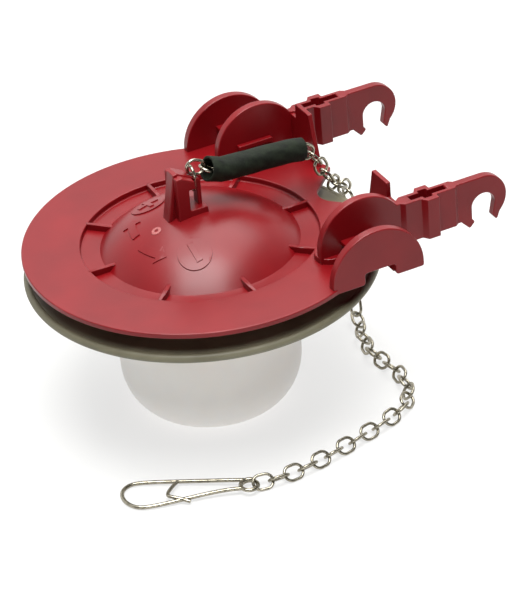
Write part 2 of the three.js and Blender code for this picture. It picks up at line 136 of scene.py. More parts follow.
def area_light(name, place, target, size, watts):
    data = bpy.data.lights.new(name, "AREA")
    data.shape = "RECTANGLE"
    data.size, data.size_y = size
    data.energy = watts
    lamp = bpy.data.objects.new(name, data)
    lamp.location = place
    aim = Vector(target) - Vector(place)
    lamp.rotation_euler = aim.to_track_quat("-Z", "Y").to_euler()
    bpy.context.scene.collection.objects.link(lamp)


# Materials
def linear(colour):
    """An sRGB hex colour as linear red, green, blue and alpha."""
    channels = []
    for shift in (16, 8, 0):
        value = ((colour >> shift) & 255) / 255
        channels.append(value / 12.92 if value <= 0.04045 else ((value + 0.055) / 1.055) ** 2.4)
    return (*channels, 1.0)


def add_node(tree, kind, settings=None, inputs=None):
    """A node with its settings, and its inputs set to values or linked to sockets."""
    made = tree.nodes.new(kind)
    for key, value in (settings or {}).items():
        setattr(made, key, value)
    for key, value in (inputs or {}).items():
        if isinstance(value, bpy.types.NodeSocket):
            tree.links.new(value, made.inputs[key])
        else:
            made.inputs[key].default_value = value
    return made


def new_material(name, shader_inputs):
    """A material whose shader has these plain values. Returns it, its tree and the shader."""
    material = bpy.data.materials.new(name)
    material.use_nodes = True
    tree = material.node_tree
    tree.nodes.clear()
    shader = add_node(tree, "ShaderNodeBsdfPrincipled", inputs=shader_inputs)
    add_node(tree, "ShaderNodeOutputMaterial", inputs={"Surface": shader.outputs["BSDF"]})
    return material, tree, shader


def clouded_material(name, cloud, stops, tones, shader_inputs):
    """A material whose colour drifts between two tones with a noise on the object's coordinates.

    The cloud is the noise's feature size in mm, its detail and its roughness, and the stops are
    where the two tones begin. Returns the material, its tree, its shader and the noise.
    """
    material, tree, shader = new_material(name, shader_inputs)
    size_mm, detail, roughness = cloud
    place = add_node(tree, "ShaderNodeTexCoord")
    noise = add_node(
        tree,
        "ShaderNodeTexNoise",
        inputs={
            "Vector": place.outputs["Object"],
            "Scale": 1 / (size_mm * MM),
            "Detail": detail,
            "Roughness": roughness,
        },
    )
    ramp = add_node(tree, "ShaderNodeValToRGB", inputs={"Fac": noise.outputs["Fac"]})
    for element, stop, tone in zip(ramp.color_ramp.elements, stops, tones):
        element.position = stop
        element.color = linear(tone)
    tree.links.new(ramp.outputs["Color"], shader.inputs["Base Color"])
    return material, tree, shader, noise.outputs["Fac"]


def moulded_skin(tree, shader, grit, gloss, depth_mm, strength):
    """One fine noise that spreads the roughness between two values and gives shallow bumps.

    The grit is the noise's feature size in mm, its detail and its roughness. The real grain is
    too fine to show in the render, so each material draws it coarser.
    """
    size_mm, detail, roughness = grit
    place = add_node(tree, "ShaderNodeTexCoord")
    noise = add_node(
        tree,
        "ShaderNodeTexNoise",
        inputs={
            "Vector": place.outputs["Object"],
            "Scale": 1 / (size_mm * MM),
            "Detail": detail,
            "Roughness": roughness,
        },
    )
    level = add_node(
        tree,
        "ShaderNodeMapRange",
        inputs={"Value": noise.outputs["Fac"], "To Min": gloss[0], "To Max": gloss[1]},
    )
    bump = add_node(
        tree,
        "ShaderNodeBump",
        inputs={
            "Height": noise.outputs["Fac"],
            "Distance": depth_mm * MM,
            "Strength": strength,
        },
    )
    tree.links.new(level.outputs["Result"], shader.inputs["Roughness"])
    tree.links.new(bump.outputs["Normal"], shader.inputs["Normal"])


# Moulded polypropylene: a satin red with a fine spark-eroded grain and soft flow marks
def moulded_polypropylene():
    material, tree, shader, _ = clouded_material(
        "moulded_polypropylene",
        cloud=(16.0, 3.0, 0.45),
        stops=(0.3, 0.72),
        tones=(0x6C080E, 0x7A0D13),
        shader_inputs={"IOR": 1.49, "Specular IOR Level": 0.34},
    )
    moulded_skin(tree, shader, grit=(0.35, 2.0, 0.6), gloss=(0.25, 0.36), depth_mm=0.02, strength=0.5)
    return material


# Gate mark's red: the same red painted paler as a painted highlight of the broken-off ring's glint,
# and dull
def painted_highlight_polypropylene():
    return clouded_material(
        "painted_highlight_polypropylene",
        cloud=(0.5, 2.0, 0.5),
        stops=(0.3, 0.7),
        tones=(0x8C3C3C, 0xAC6461),
        shader_inputs={"IOR": 1.49, "Roughness": 0.3},
    )[0]


# Thermoplastic rubber: pale olive grey, a little translucent, with a matt skin
def thermoplastic_rubber():
    material, tree, shader, _ = clouded_material(
        "thermoplastic_rubber",
        cloud=(9.0, 3.0, 0.5),
        stops=(0.3, 0.7),
        tones=(0x615D49, 0x716D58),
        shader_inputs={
            "IOR": 1.5,
            "Subsurface Weight": 0.15,
            "Subsurface Radius": (1.0, 0.9, 0.7),
            "Subsurface Scale": 1.2 * MM,
        },
    )
    moulded_skin(tree, shader, grit=(0.4, 2.0, 0.6), gloss=(0.45, 0.6), depth_mm=0.015, strength=0.4)
    return material


# Natural polypropylene: frosted, warm white and translucent, as a blown or moulded cup is
def natural_polypropylene():
    material, tree, shader, _ = clouded_material(
        "natural_polypropylene",
        cloud=(22.0, 2.0, 0.4),
        stops=(0.3, 0.7),
        tones=(0xF1E7E0, 0xF8F0E9),
        shader_inputs={
            "IOR": 1.49,
            "Subsurface Weight": 0.6,
            "Subsurface Radius": (1.0, 0.85, 0.75),
            "Subsurface Scale": 4.0 * MM,
        },
    )
    moulded_skin(tree, shader, grit=(0.6, 2.0, 0.5), gloss=(0.36, 0.46), depth_mm=0.01, strength=0.4)
    return material


# Nickel plate on steel wire: warm grey metal with drawn wire's faint dull patches
def nickel_plate():
    material, tree, shader, patches = clouded_material(
        "nickel_plate",
        cloud=(1.6, 3.0, 0.55),
        stops=(0.3, 0.7),
        tones=(0x7E796A, 0xB0AA9A),
        shader_inputs={"Metallic": 1.0},
    )
    level = add_node(
        tree, "ShaderNodeMapRange", inputs={"Value": patches, "To Min": 0.3, "To Max": 0.15}
    )
    tree.links.new(level.outputs["Result"], shader.inputs["Roughness"])
    return material


# Closed-cell foam rubber: near black, dull, with small open pores on the cut skin, which are
# drawn a little coarse so that they show
def foam_rubber():
    material, tree, shader, cloud = clouded_material(
        "foam_rubber",
        cloud=(3.0, 3.0, 0.6),
        stops=(0.3, 0.75),
        tones=(0x070B05, 0x1E2519),
        shader_inputs={"IOR": 1.45, "Specular IOR Level": 0.22},
    )
    pore_mm, pore_depth_mm = 0.7, 0.12
    place = add_node(tree, "ShaderNodeTexCoord")
    pores = add_node(
        tree,
        "ShaderNodeTexVoronoi",
        inputs={"Vector": place.outputs["Object"], "Scale": 1 / (pore_mm * MM)},
    )
    bump = add_node(
        tree,
        "ShaderNodeBump",
        inputs={
            "Height": pores.outputs["Distance"],
            "Distance": pore_depth_mm * MM,
            "Strength": 0.5,
        },
    )
    level = add_node(
        tree, "ShaderNodeMapRange", inputs={"Value": cloud, "To Min": 0.6, "To Max": 0.8}
    )
    tree.links.new(level.outputs["Result"], shader.inputs["Roughness"])
    tree.links.new(bump.outputs["Normal"], shader.inputs["Normal"])
    return material


# Meshes
def finish_mesh(name, mesh, material, body, nodes, smooth_angle=40.0):
    """Links a finished piece, gives it its material, rides it on its body, and hides the CAD nodes it
    stands for.
    """
    mesh.name = name
    mesh.materials.clear()
    mesh.materials.append(material)
    mesh.shade_smooth()
    mesh.set_sharp_from_angle(angle=math.radians(smooth_angle))
    piece = bpy.data.objects.new(name, mesh)
    bpy.context.scene.collection.objects.link(piece)
    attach(piece, body)
    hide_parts(*nodes)


def frame_piece(name, mesh, smooth_angle=60.0, material=None):
    """Finishes a piece of the red moulding, which is one solid in the frame."""
    plastic = material or RED
    finish_mesh(
        name, mesh, plastic, "frame_body", ["flapper_frame"], smooth_angle
    )


def applied(source):
    """The source object's mesh with its modifiers applied. The object is removed."""
    bpy.context.view_layer.update()
    graph = bpy.context.evaluated_depsgraph_get()
    mesh = bpy.data.meshes.new_from_object(source.evaluated_get(graph))
    mesh.transform(source.matrix_world)
    bpy.data.objects.remove(source)
    return mesh


def temporary(name, data):
    piece = bpy.data.objects.new(name, data)
    bpy.context.scene.collection.objects.link(piece)
    return piece


def joined(meshes):
    """One mesh out of several."""
    build = bmesh.new()
    for mesh in meshes:
        build.from_mesh(mesh)
    result = bpy.data.meshes.new("joined")
    build.to_mesh(result)
    build.free()
    return result


def turned(profile, steps, place=None):
    """A closed mesh from a profile of radius and height in mm, turned round Z.

    place maps radius, height and angle to a point, where the piece isn't turned round Z.
    """
    place = place or (lambda r, h, a: Vector((r * math.cos(a), r * math.sin(a), h)))
    build = bmesh.new()
    rings = []
    for radius, height in profile:
        if radius < ON_AXIS:
            rings.append([build.verts.new(place(0.0, height, 0.0) * MM)] * steps)
            continue
        angles = [2 * math.pi * i / steps for i in range(steps)]
        rings.append([build.verts.new(place(radius, height, angle) * MM) for angle in angles])
    open_ended = profile[0][0] < ON_AXIS
    following = rings[1:] if open_ended else rings[1:] + rings[:1]
    for near, far in zip(rings, following):
        for i in range(steps):
            j = (i + 1) % steps
            corners = []
            for vertex in (near[i], near[j], far[j], far[i]):
                if vertex not in corners:
                    corners.append(vertex)
            if len(corners) > 2:
                build.faces.new(corners)
    bmesh.ops.recalc_face_normals(build, faces=build.faces)
    mesh = bpy.data.meshes.new("turned")
    build.to_mesh(mesh)
    build.free()
    return mesh


def arc(centre, radius, start, end, steps):
    """Points of an arc between two angles in degrees."""
    points = []
    for i in range(steps + 1):
        angle = math.radians(start + (end - start) * i / steps)
        points.append((centre[0] + radius * math.cos(angle), centre[1] + radius * math.sin(angle)))
    return points


def circle(centre, radius, count):
    """Points round a full circle."""
    return arc(centre, radius, 0, 360 * (count - 1) / count, count - 1)


def on_circle(radius, angle):
    """The point at this angle, in degrees, on a circle round the origin."""
    return (radius * math.cos(math.radians(angle)), radius * math.sin(math.radians(angle)))


def rectangle(left, right, low, high):
    return [(left, low), (right, low), (right, high), (left, high)]


# The directions that a slab can run in: its axis, and the turn that lays an outline across it
ALONG_X = (Vector((1, 0, 0)), Matrix(((0, 0, 1, 0), (1, 0, 0, 0), (0, 1, 0, 0), (0, 0, 0, 1))))
ALONG_Y = (Vector((0, 1, 0)), Matrix(((1, 0, 0, 0), (0, 0, -1, 0), (0, 1, 0, 0), (0, 0, 0, 1))))
ALONG_Z = (Vector((0, 0, 1)), Matrix.Identity(4))


def slab(outlines, start, end, direction, edge=EDGE):
    """A flat piece with rounded edges: outlines in mm run from start to end along an axis.

    The outlines are in Y and Z for ALONG_X, in X and Z for ALONG_Y and in X and Y for ALONG_Z.
    """
    curve = bpy.data.curves.new("slab", "CURVE")
    curve.dimensions = "2D"
    curve.fill_mode = "BOTH"
    curve.extrude = (end - start) / 2 - edge
    curve.bevel_depth = edge
    curve.bevel_resolution = EDGE_STEPS
    curve.offset = -edge
    for outline in outlines:
        spline = curve.splines.new("POLY")
        spline.points.add(len(outline) - 1)
        for point, (a, b) in zip(spline.points, outline):
            point.co = (a, b, 0, 1)
        spline.use_cyclic_u = True
    source = temporary("slab", curve)
    axis, turn = direction
    shift = Matrix.Translation(axis * (start + end) / 2)
    source.matrix_world = Matrix.Scale(MM, 4) @ shift @ turn
    return applied(source)


def flats_kept(mesh):
    """Weights the normals by face area, so that flats stay flat next to their rounded edges."""
    build = bmesh.new()
    build.from_mesh(mesh)
    bmesh.ops.remove_doubles(build, verts=build.verts, dist=MERGE * MM)
    bmesh.ops.recalc_face_normals(build, faces=build.faces)
    build.to_mesh(mesh)
    build.free()
    mesh.shade_smooth()
    source = temporary("weighted", mesh)
    source.modifiers.new("weighted", "WEIGHTED_NORMAL").keep_sharp = False
    return applied(source)


def rounded(corners, radius, steps=4):
    """The outline with its sharp corners rounded. Stretches that are arcs already stay."""
    smooth_turn, most_of_side = math.radians(24), 0.45
    points = []
    count = len(corners)
    for i, corner in enumerate(corners):
        here = Vector(corner)
        before = Vector(corners[i - 1]) - here
        after = Vector(corners[(i + 1) % count]) - here
        turn = math.pi - before.angle(after)
        if turn < smooth_turn:
            points.append(tuple(here))
            continue
        shorter = min(before.length, after.length)
        reach = min(radius * math.tan(turn / 2), most_of_side * shorter)
        first = here + before.normalized() * reach
        last = here + after.normalized() * reach
        for step in range(steps + 1):
            t = step / steps
            point = first * (1 - t) ** 2 + here * (2 * t * (1 - t)) + last * t**2
            points.append(tuple(point))
    return points


def z(height):
    """A height over the plate's top."""
    return PLATE_TOP + height


def sphere_z(sphere, radius):
    """The height of a sphere round the dome's centre, at this radius from the axis."""
    return DOME_CENTRE + math.sqrt(sphere**2 - radius**2)


# Disc: the flat rim with its wings and rear notch. The wings end a hair inside the fenders, so
# that no two faces lie in one plane.
def disc_rim():
    hair = 0.03
    wing_x = FENDER_X + FENDER_SHEET / 2 - hair
    wing_y = 27.9
    notch_inner, notch_corner = 39.4, 6.0
    corner = 1.2
    notch_centre = notch_inner + notch_corner
    apex = notch_centre - notch_corner * math.sqrt(2)
    notch_y = (apex + math.sqrt(2 * PLATE_RADIUS**2 - apex**2)) / 2
    notch_angle = math.degrees(math.atan2(notch_y, notch_y - apex))
    wing_front = math.degrees(math.acos(wing_x / PLATE_RADIUS))
    wing_rear = math.degrees(math.asin(wing_y / PLATE_RADIUS))
    outline = []
    outline += arc((0, 0), PLATE_RADIUS, 180 - wing_front, 360 + wing_front, 180)
    outline += [(wing_x, wing_y)]
    outline += arc((0, 0), PLATE_RADIUS, wing_rear, notch_angle, 30)
    outline += arc((0, notch_centre), notch_corner, -45, -135, 16)
    outline += arc((0, 0), PLATE_RADIUS, 180 - notch_angle, 180 - wing_rear, 30)
    outline += [(-wing_x, wing_y)]
    hole = circle((0, 0), RECESS_RADIUS, 180)
    mesh = slab([rounded(outline, corner), hole], PLATE_BOTTOM, PLATE_TOP, ALONG_Z)
    frame_piece("disc_rim", flats_kept(mesh))


# Dome, sunk ring and the spigot that carries the cup. The ring's wall reaches into the rim.
def dome_shell():
    overlap, rim_drop = 0.08, 0.7
    fillet, round_over, chamfer = 0.6, 0.3, 0.4
    top_steps, inner_steps = 32, 16
    inner_sphere = DOME_SPHERE - DOME_WALL
    spigot_inner = SPIGOT_RADIUS - SPIGOT_WALL
    low = SEAL_BOTTOM - SPIGOT_REACH
    wall = RECESS_RADIUS + overlap
    outside = RECESS_RADIUS + RECESS_WALL
    profile = []
    for i in range(top_steps + 1):
        radius = DOME_RADIUS * i / top_steps
        profile.append((radius, sphere_z(DOME_SPHERE, radius)))
    profile += arc((wall - fillet, RECESS_TOP + fillet), fillet, -90, 0, 5)
    profile += [(wall, PLATE_TOP - rim_drop), (outside, PLATE_TOP - rim_drop)]
    profile += arc((outside - round_over, RECESS_BOTTOM + round_over), round_over, 0, -90, 4)
    profile += [(SPIGOT_RADIUS, RECESS_BOTTOM), (SPIGOT_RADIUS, low + chamfer)]
    profile += [(SPIGOT_RADIUS - chamfer, low), (spigot_inner, low)]
    for i in range(inner_steps + 1):
        radius = spigot_inner * (1 - i / inner_steps)
        profile.append((radius, sphere_z(inner_sphere, radius)))
    frame_piece("dome_shell", turned(profile, 224), 40)


# Node groups
def new_tree(name, sockets):
    """A geometry node tree with a geometry input and these further inputs."""
    tree = bpy.data.node_groups.new(name, "GeometryNodeTree")
    tree.interface.new_socket(
        name="Geometry", in_out="OUTPUT", socket_type="NodeSocketGeometry"
    )
    tree.interface.new_socket(name="Geometry", in_out="INPUT", socket_type="NodeSocketGeometry")
    for label, kind in sockets.items():
        tree.interface.new_socket(name=label, in_out="INPUT", socket_type=kind)
    given = tree.nodes.new("NodeGroupInput")
    return tree, given.outputs


def put_copies(tree, given, shape):
    """Puts the shape on each given point, at that point's turn, and ends the tree."""
    turn = add_node(
        tree,
        "GeometryNodeInputNamedAttribute",
        {"data_type": "FLOAT_VECTOR"},
        {"Name": "turn"},
    )
    copies = add_node(
        tree,
        "GeometryNodeInstanceOnPoints",
        inputs={
            "Points": given["Geometry"],
            "Instance": shape,
            "Rotation": turn.outputs["Attribute"],
        },
    )
    real = add_node(
        tree, "GeometryNodeRealizeInstances", inputs={"Geometry": copies.outputs["Instances"]}
    )
    smooth = add_node(
        tree, "GeometryNodeSetShadeSmooth", inputs={"Geometry": real.outputs["Geometry"]}
    )
    painted = add_node(
        tree,
        "GeometryNodeSetMaterial",
        inputs={"Geometry": smooth.outputs["Geometry"], "Material": given["Material"]},
    )
    add_node(tree, "NodeGroupOutput", inputs={"Geometry": painted.outputs["Geometry"]})


def grown(mesh, tree, values):
    """The mesh that a tree makes out of this one with these input values."""
    source = temporary(tree.name, mesh)
    modifier = source.modifiers.new(tree.name, "NODES")
    modifier.node_group = tree
    for item in tree.interface.items_tree:
        if item.in_out == "INPUT" and item.name in values:
            modifier[item.identifier] = values[item.name]
    return applied(source)


# Gussets: rounded bars between the dome and the sunk ring's wall, one at each point of a ring
def gusset_tree():
    tree, given = new_tree(
        "dome_gussets",
        {
            "Length": "NodeSocketFloat",
            "Width": "NodeSocketFloat",
            "Height": "NodeSocketFloat",
            "Rounding": "NodeSocketFloat",
            "Material": "NodeSocketMaterial",
        },
    )
    ends = []
    for share in (-0.5, 0.5):
        reach = add_node(
            tree, "ShaderNodeMath", {"operation": "MULTIPLY"}, {0: given["Length"], 1: share}
        )
        ends.append(add_node(tree, "ShaderNodeCombineXYZ", inputs={"X": reach.outputs["Value"]}))
    line = add_node(
        tree,
        "GeometryNodeCurvePrimitiveLine",
        inputs={"Start": ends[0].outputs["Vector"], "End": ends[1].outputs["Vector"]},
    )
    upright = add_node(
        tree, "GeometryNodeSetCurveNormal", {"mode": "Z_UP"}, {"Curve": line.outputs["Curve"]}
    )
    section = add_node(
        tree,
        "GeometryNodeCurvePrimitiveQuadrilateral",
        inputs={"Width": given["Width"], "Height": given["Height"]},
    )
    soft = add_node(
        tree,
        "GeometryNodeFilletCurve",
        {"mode": "POLY"},
        {"Curve": section.outputs["Curve"], "Count": 4, "Radius": given["Rounding"]},
    )
    bar = add_node(
        tree,
        "GeometryNodeCurveToMesh",
        inputs={
            "Curve": upright.outputs["Curve"],
            "Profile Curve": soft.outputs["Curve"],
            "Fill Caps": True,
        },
    )
    put_copies(tree, given, bar.outputs["Mesh"])
    return tree


def turned_points(places, turns):
    """Points in metres, each with its turn as an Euler angle, for a tree to put copies on."""
    mesh = bpy.data.meshes.new("points")
    mesh.from_pydata(places, [], [])
    turn = mesh.attributes.new("turn", "FLOAT_VECTOR", "POINT")
    for item, value in zip(turn.data, turns):
        item.vector = value
    return mesh


def dome_ribs():
    count = 8
    inner, outer = 25.4, 35.4
    width, rounding, proud = 1.3, 0.3, 0.8
    middle = (inner + outer) / 2
    height = RECESS_DEPTH + proud
    centre = PLATE_TOP - height / 2
    places = []
    turns = []
    for i in range(count):
        angle = 360 * i / count
        places.append(Vector((*on_circle(middle, angle), centre)) * MM)
        turns.append((0, 0, math.radians(angle)))
    mesh = grown(
        turned_points(places, turns),
        gusset_tree(),
        {
            "Length": (outer - inner) * MM,
            "Width": width * MM,
            "Height": height * MM,
            "Rounding": rounding * MM,
            "Material": RED,
        },
    )
    frame_piece("dome_ribs", flats_kept(mesh))


# Signs on the dome: a plus and a minus on round pads, and an arrow towards each
def sign_arrow(radius, start, end, tip):
    """A bent arrow round the dome's axis, from a start angle to the angle of its tip."""
    half, head = 1.1, 2.6
    outer = arc((0, 0), radius + half, start, end, 8)
    inner = arc((0, 0), radius - half, end, start, 8)
    point = [on_circle(radius + head, end), on_circle(radius, tip), on_circle(radius - head, end)]
    return outer + point + inner


def minus_outline(centre, length, width):
    a, b = length / 2, width / 2
    x, y = centre
    return rectangle(x - a, x + a, y - b, y + b)


def plus_outline(centre, length, width):
    a, b = length / 2, width / 2
    x, y = centre
    corners = [(a, -b), (a, b), (b, b), (b, a), (-b, a), (-b, b)]
    corners += [(-a, b), (-a, -b), (-b, -b), (-b, -a), (b, -a), (b, -b)]
    return [(x + p, y + q) for p, q in corners]


def dome_ball(proud):
    """The dome's whole sphere, this much larger."""
    steps = 120
    radius = DOME_SPHERE + proud
    profile = [(0.0, DOME_CENTRE + radius)]
    for i in range(1, steps):
        across, up = on_circle(radius, 90 - 180 * i / steps)
        profile.append((across, DOME_CENTRE + up))
    profile.append((0.0, DOME_CENTRE - radius))
    return temporary("ball", turned(profile, 200))


def raised(shapes, proud):
    """Shapes in X and Y, raised on the dome by this much. A shape's second outline is a hole."""
    low, high = 50.0, 66.0
    soft_edge = 0.14
    prisms = [slab(shape, low, high, ALONG_Z, edge=0.0) for shape in shapes]
    source = temporary("signs", joined(prisms))
    ball = dome_ball(proud)
    cut = source.modifiers.new("on_the_dome", "BOOLEAN")
    cut.operation = "INTERSECT"
    cut.solver = "EXACT"
    cut.object = ball
    soften = source.modifiers.new("soft_edge", "BEVEL")
    soften.width = soft_edge * MM
    soften.segments = 2
    soften.limit_method = "ANGLE"
    soften.angle_limit = math.radians(50)
    mesh = applied(source)
    bpy.data.objects.remove(ball)
    return mesh


def dome_signs():
    plus = on_circle(radius=16.9, angle=-146)
    minus = on_circle(radius=18.6, angle=-29)
    pad_radius, pad_proud, sign_proud = 5.0, 0.32, 0.6
    length, plus_width, minus_width = 6.2, 1.3, 1.8
    pads = [circle(centre, pad_radius, 48) for centre in (plus, minus)]
    to_minus = sign_arrow(radius=20.4, start=-80, end=-61, tip=-52.6)
    to_plus = sign_arrow(radius=19.3, start=-94, end=-113, tip=-121.4)
    low = raised([[outline] for outline in (*pads, to_minus, to_plus)], pad_proud)
    signs = [plus_outline(plus, length, plus_width), minus_outline(minus, length, minus_width)]
    high = raised([[outline] for outline in signs], sign_proud)
    frame_piece("dome_signs", joined([low, high]), 30)


# Gate mark: the ring that is left where the moulding was broken off its sprue, painted paler as a
# painted highlight
def gate_mark():
    centre = (2.0, -14.2)
    outer, inner, proud = 1.4, 0.6, 0.2
    ring = [circle(centre, outer, 24), circle(centre, inner, 24)]
    frame_piece("gate_mark", raised([ring], proud), 30, GATE_GLINT_RED)


# Arms: a round guard and beam, a stepped and slotted box, and the open hook
def guard_outline():
    centre_y, centre_height, radius = 35.7, 3.6, 13.75
    end, corner = 52.0, 0.8
    meet = math.degrees(math.asin((ARM_TOP - centre_height) / radius))
    outline = arc((centre_y, z(centre_height)), radius, 180, meet, 36)
    outline += [(end, z(ARM_TOP)), (end, PLATE_BOTTOM), (centre_y - radius, PLATE_BOTTOM)]
    return rounded(outline, corner)


def hook_outline():
    peg_y, mouth_z, mouth, outer = 75.35, z(2.0), 3.85, 7.7
    barb, barb_drop, lip, tip = 0.9, 2.7, z(-2.7), z(-4.5)
    start, toe, heel, heel_foot, heel_rise = 63.5, 70.6, 67.4, 65.0, 0.5
    corner = 0.6
    outline = [(start, z(ARM_TOP))]
    outline += arc((peg_y, z(ARM_TOP) - outer), outer, 90, -45, 36)
    outline += [(peg_y + mouth + barb / 2, tip), (peg_y + mouth - barb, lip)]
    outline += arc((peg_y, mouth_z), mouth, 0, 180, 28)
    outline += [(peg_y - mouth, mouth_z - barb_drop - barb), (peg_y - mouth + barb, lip)]
    outline += [(toe, tip), (heel, PLATE_BOTTOM + heel_rise), (heel_foot, PLATE_BOTTOM)]
    outline += [(start, PLATE_BOTTOM)]
    return rounded(outline, corner)


def box_outlines(x):
    """The stepped outline and its slot in X and Y, the same on both sides of the arm's middle."""
    corner = 0.35
    half = [(1.2, 46.6), (1.2, 48.0), (2.35, 49.3), (2.35, 54.4), (4.15, 55.6), (4.15, 59.4)]
    half += [(2.2, 59.4), (2.2, 65.6), (1.2, 66.9), (1.2, 68.0)]
    slot = [(1.1, 50.0), (1.1, 55.5), (2.3, 55.5), (2.3, 58.3), (1.1, 58.3), (1.1, 64.3)]
    outlines = []
    for side in (half, slot):
        outline = [(x + a, b) for a, b in side]
        outline += [(x - a, b) for a, b in reversed(side)]
        outlines.append(rounded(outline, corner))
    return outlines


def fender_outline():
    centre_y, centre_height, radius = 32.8, 0.2, 14.6
    arch_start, arch_end, arch_top = 28.5, 38.4, z(2.1)
    corner = 1.0
    outline = arc((centre_y, z(centre_height)), radius, 180, 0, 60)
    outline += [(centre_y + radius, PLATE_BOTTOM), (arch_end, PLATE_BOTTOM), (arch_end, arch_top)]
    outline += [(arch_start, arch_top), (arch_start, PLATE_BOTTOM)]
    outline += [(centre_y - radius, PLATE_BOTTOM)]
    return rounded(outline, corner)


def fin_outline(side):
    foot, edge, shoulder = 14.8, 19.5, 28.2
    shoulder_top, top, corner = z(10.9), z(15.8), 0.5
    outline = [(foot, PLATE_BOTTOM), (ARM_X, PLATE_BOTTOM), (ARM_X, shoulder_top)]
    outline += [(shoulder, shoulder_top), (shoulder, top), (edge, top)]
    return rounded([(side * a, b) for a, b in outline], corner)


def brace(side):
    """The sheet between guard and fender, its rear wall, and the ledge inside the guard."""
    start, end, ledge_end = 28.4, 39.9, 39.7
    bottom, top, sheet = z(4.4), z(5.9), 1.5
    wall_sink, hair, ledge_corner = 0.3, 0.02, 0.4
    left, right = sorted((side * 33.6, side * 45.9))
    ledge_left, ledge_right = sorted((side * 29.9, side * 32.0))
    wall = rectangle(left, right, PLATE_BOTTOM + hair, top - wall_sink)
    ledge = rounded(rectangle(ledge_left, ledge_right, start, ledge_end), ledge_corner)
    return [
        slab([rectangle(left, right, start, end)], bottom, top, ALONG_Z, THIN_EDGE),
        slab([wall], end - sheet, end - hair, ALONG_Y, THIN_EDGE),
        slab([ledge], bottom, top, ALONG_Z, THIN_EDGE),
    ]


# The arm's sheets stand a hair inside one another, so that no two faces lie in one plane
def arm(name, side):
    x = side * ARM_X
    half = ARM_SHEET / 2
    hair = 0.01
    fender_start = side * FENDER_X - FENDER_SHEET / 2
    fin_start, fin_end = 47.0, 48.4
    pad_x, pad_y, pad_radius, pad_edge = 31.2, 26.2, 4.6, 0.3
    pad_bottom, pad_top = z(-1.0), z(1.8)
    pad = circle((side * pad_x, pad_y), pad_radius, 60)
    mesh = joined(
        [
            slab([hook_outline()], x - half, x + half, ALONG_X),
            slab([guard_outline()], x - half + hair, x + half - hair, ALONG_X),
            slab(box_outlines(x), PLATE_BOTTOM + hair, z(ARM_TOP) - hair, ALONG_Z, THIN_EDGE),
            slab([fender_outline()], fender_start, fender_start + FENDER_SHEET, ALONG_X),
            *brace(side),
            slab([fin_outline(side)], fin_start, fin_end, ALONG_Y, THIN_EDGE),
            slab([pad], pad_bottom, pad_top, ALONG_Z, pad_edge),
        ]
    )
    frame_piece(name, flats_kept(mesh))


# Post: a leaning front flange, a web with a window under its top arm, and a column that runs up
# to the arm. The web stands a hair inside the others, so that no two faces lie in one plane.
def chain_post():
    foot, sill, neck, head = 60.6, z(11.4), z(18.1), z(22.7)
    web_half, flange_half, column_half = 1.55, 2.0, 4.0
    web = [(-10.5, foot), (2.4, foot), (1.2, sill), (1.2, z(19.3)), (-6.0, z(23.36))]
    web += [(-7.3, z(23.36))]
    window = [(-3.55, z(11.3)), (-3.55, z(18.0)), (-0.1, z(18.0)), (-0.1, z(11.3))]
    flange = [(-10.6, foot), (-9.2, foot), (-6.0, z(23.4)), (-7.4, z(23.4))]
    column = [(-7.4, foot), (2.4, foot), (1.8, sill), (-3.6, sill), (-3.6, neck), (-1.7, neck)]
    column += [(-1.7, z(20.6)), (-5.6, head), (-7.4, head)]
    web_outlines = [rounded(web, 0.5), rounded(window, 0.4)]
    edge = 0.3
    mesh = joined(
        [
            slab(web_outlines, -web_half, web_half, ALONG_X, edge),
            slab([rounded(flange, 0.3)], -flange_half, flange_half, ALONG_X, edge),
            slab([rounded(column, 0.4)], -column_half, column_half, ALONG_X, edge),
        ]
    )
    frame_piece("chain_post", flats_kept(mesh))


# Seal: flat hub, falling web and rounded lip
def falling_web(start, end):
    """Points between the hub's corner and the lip, with a slight bulge on the way."""
    bulge, steps = 0.35, 10
    points = []
    for i in range(1, steps):
        t = i / steps
        point = Vector(start).lerp(Vector(end), t)
        points.append((point.x, point.y + bulge * math.sin(math.pi * t)))
    return points


def seal_skirt():
    hub_overlap, lip_radius = 1.4, 1.3
    lip_centre = (PLATE_RADIUS + SEAL_OVERHANG - lip_radius, z(-SEAL_DROP))
    hub = RECESS_RADIUS + hub_overlap
    bore = SPIGOT_RADIUS + GAP
    lip = arc(lip_centre, lip_radius, 120, -120, 22)
    profile = [(bore, SEAL_TOP), (hub, SEAL_TOP)]
    profile += falling_web((hub, SEAL_TOP), lip[0])
    profile += lip
    profile += reversed(falling_web((hub, SEAL_BOTTOM), lip[-1]))
    profile += [(hub, SEAL_BOTTOM), (bore, SEAL_BOTTOM)]
    mesh = turned(profile, 256)
    finish_mesh("seal_skirt", mesh, RUBBER, "frame_body", ["seal_disc"])


# Cup: flat bottom, elliptical corner, drafted wall and the collar that turns on the spigot
def cup_wall():
    width, height = CUP_CORNER
    rim, steps = 0.5, 24
    outside = [(0.0, 0.0)]
    inside = []
    for i in range(steps + 1):
        angle = math.pi / 2 * i / steps
        inward, up = 1 - math.sin(angle), 1 - math.cos(angle)
        outside.append((CUP_FOOT_RADIUS - width * inward, height * up))
        inner_radius = CUP_FOOT_RADIUS - CUP_WALL - (width - CUP_WALL) * inward
        inside.append((inner_radius, CUP_WALL + (height - CUP_WALL) * up))
    collar = SPIGOT_RADIUS + GAP
    collar_foot = CUP_HEIGHT - CUP_COLLAR
    outside += [(CUP_RADIUS, CUP_HEIGHT - rim), (CUP_RADIUS - rim, CUP_HEIGHT)]
    outside += [(collar, CUP_HEIGHT), (collar, collar_foot)]
    outside += [(CUP_RADIUS - CUP_WALL, collar_foot - CUP_WALL)]
    profile = outside + inside[::-1] + [(0.0, CUP_WALL)]
    mesh = turned(profile, 192)
    finish_mesh("cup_wall", mesh, FROSTED, "cup_body", ["float_cup"])


